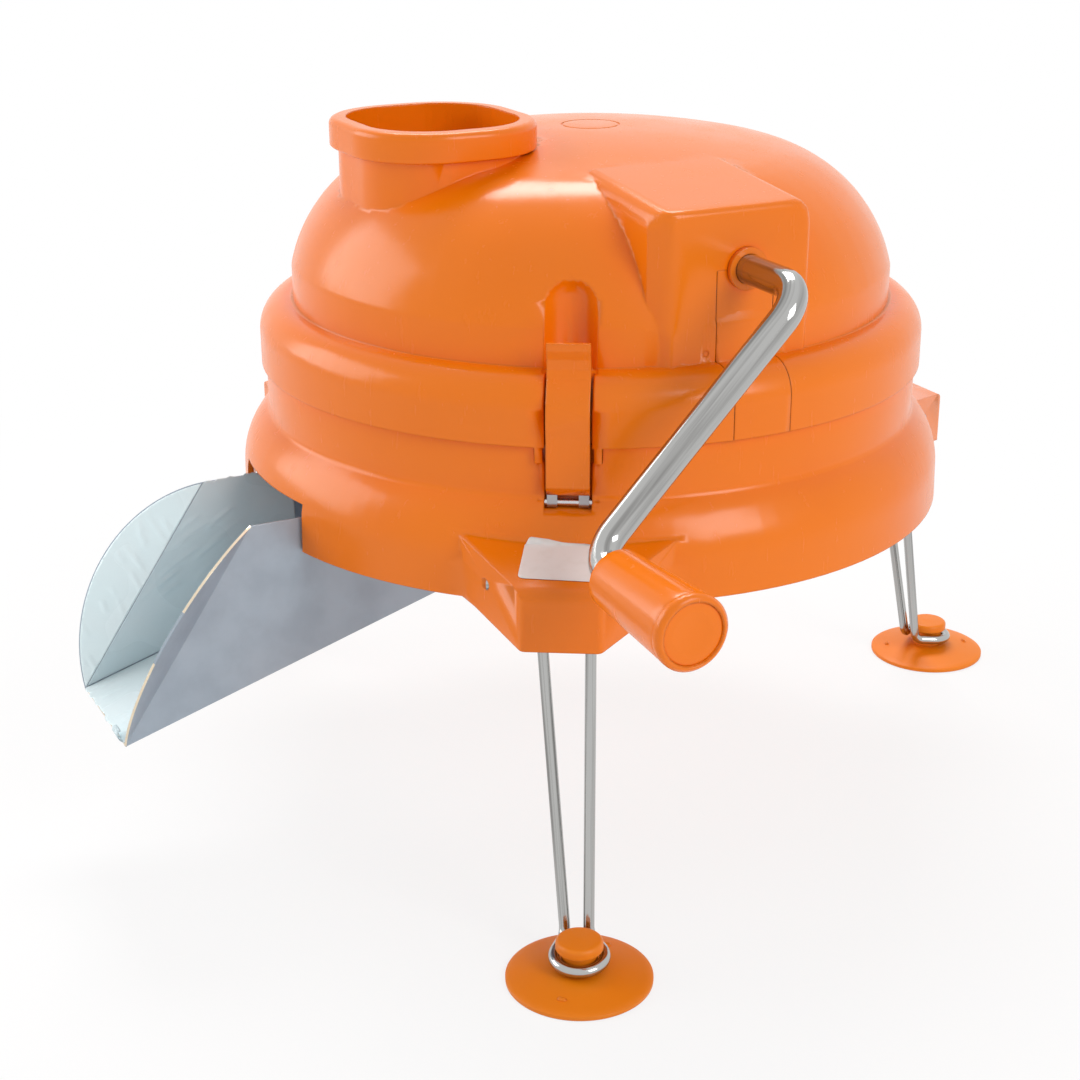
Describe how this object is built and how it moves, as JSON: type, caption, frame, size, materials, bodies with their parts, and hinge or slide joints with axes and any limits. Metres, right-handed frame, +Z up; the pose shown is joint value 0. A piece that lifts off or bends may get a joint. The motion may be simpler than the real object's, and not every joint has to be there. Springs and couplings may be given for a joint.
{
  "type": "hand-crank vegetable dicer",
  "caption": "Hand-cranked vegetable dicer: domed cover with hopper, geared rotor over a dicing grid, delivery chute, over-centre latches and folding wire legs on suction feet.",
  "frame": {"origin": "on the rotor's axis, in the plane that the suction feet stand on", "axes": "+Z up along the rotor's axis, -Y through the front leg and the front latch, +X to the right as seen from the front"},
  "size_m": [0.4758, 0.4716, 0.3415],
  "materials": {
    "orange_moulding": "glossy injection-moulded orange plastic",
    "soft_orange_rubber": "satin moulded rubber in the body's orange",
    "crank_chrome": "drawn and bent steel rod, satin",
    "stainless": "machined or pressed stainless steel",
    "stainless_sheet": "folded stainless sheet, satin",
    "leg_steel": "bent steel wire, bright zinc",
    "clip_steel": "pressed spring steel",
    "white_moulding": "ivory acetal, low friction",
    "pinion_steel": "sintered steel, oiled",
    "rotor_casting": "die-cast aluminium, as cast"
  },
  "bodies": {
    "base": {"base_housing": "orange_moulding", "spindle": "stainless", "spindle_nut": "stainless", "grid_frame": "stainless", "grid_blades": "stainless", "grid_cross_blades": "stainless", "grid_screws": "stainless", "chute": "stainless_sheet", "chute_screws": "stainless", "latch_pins": "stainless"},
    "cover": {"cover_shell": "orange_moulding", "slot_insert": "orange_moulding", "insert_screws": "stainless", "crank_bush": "orange_moulding", "bearing_cap": "stainless", "bearing_screws": "stainless", "top_bush": "white_moulding"},
    "crank": {"crank_rod": "crank_chrome", "drive_pinion": "pinion_steel", "pinion_pin": "stainless", "shaft_collar": "stainless", "grip_washer": "stainless", "grip_screw": "stainless"},
    "grip": {"grip": "orange_moulding", "grip_cap": "orange_moulding"},
    "rotor": {"rotor": "rotor_casting", "crown_gear": "white_moulding", "gear_screws": "stainless", "slicing_blade": "stainless", "blade_screws": "stainless"},
    "latch_front": {"latch_front": "orange_moulding", "latch_hinge_front": "clip_steel"},
    "leg_front": {"leg_wire_front": "leg_steel", "suction_foot_front": "soft_orange_rubber"},
    "latch_right": {"latch_right": "orange_moulding", "latch_hinge_right": "clip_steel"},
    "leg_right": {"leg_wire_right": "leg_steel", "suction_foot_right": "soft_orange_rubber"},
    "latch_left": {"latch_left": "orange_moulding", "latch_hinge_left": "clip_steel"},
    "leg_left": {"leg_wire_left": "leg_steel", "suction_foot_left": "soft_orange_rubber"}
  },
  "joints": [
    {"name": "cover_lift", "type": "slide", "parent": "base", "child": "cover", "axis": [0, 0, 1], "range_m": [0, 0.055]},
    {"name": "crank_spin", "type": "hinge", "parent": "cover", "child": "crank", "pos_m": [0, 0, 0.291], "axis": [0.5075, -0.8616, 0], "continuous": true},
    {"name": "grip_spin", "type": "hinge", "parent": "crank", "child": "grip", "pos_m": [0.01675, -0.22225, 0.18914], "axis": [0.5075, -0.8616, 0], "continuous": true},
    {"name": "rotor_spin", "type": "hinge", "parent": "base", "child": "rotor", "pos_m": [0, 0, 0.2], "axis": [0, 0, 1], "continuous": true},
    {"name": "latch_front_swing", "type": "hinge", "parent": "base", "child": "latch_front", "pos_m": [0, -0.1615, 0.1945], "axis": [1, 0, 0], "range_deg": [0, 75]},
    {"name": "leg_front_fold", "type": "hinge", "parent": "base", "child": "leg_front", "pos_m": [0, -0.186, 0.165], "axis": [1, 0, 0], "range_deg": [0, 75]},
    {"name": "latch_right_swing", "type": "hinge", "parent": "base", "child": "latch_right", "pos_m": [0.13986, 0.08075, 0.1945], "axis": [-0.5, 0.866, 0], "range_deg": [0, 75]},
    {"name": "leg_right_fold", "type": "hinge", "parent": "base", "child": "leg_right", "pos_m": [0.16108, 0.093, 0.165], "axis": [-0.5, 0.866, 0], "range_deg": [0, 75]},
    {"name": "latch_left_swing", "type": "hinge", "parent": "base", "child": "latch_left", "pos_m": [-0.13986, 0.08075, 0.1945], "axis": [-0.5, -0.866, 0], "range_deg": [0, 75]},
    {"name": "leg_left_fold", "type": "hinge", "parent": "base", "child": "leg_left", "pos_m": [-0.16108, 0.093, 0.165], "axis": [-0.5, -0.866, 0], "range_deg": [0, 75]}
  ],
  "couplings": [
    {"joint": "rotor_spin", "follows": "crank_spin", "ratio": 0.15385},
    {"joint": "latch_front_swing", "follows": "cover_lift", "rad_per_m": 23.8},
    {"joint": "latch_right_swing", "follows": "cover_lift", "rad_per_m": 23.8},
    {"joint": "latch_left_swing", "follows": "cover_lift", "rad_per_m": 23.8}
  ]
}
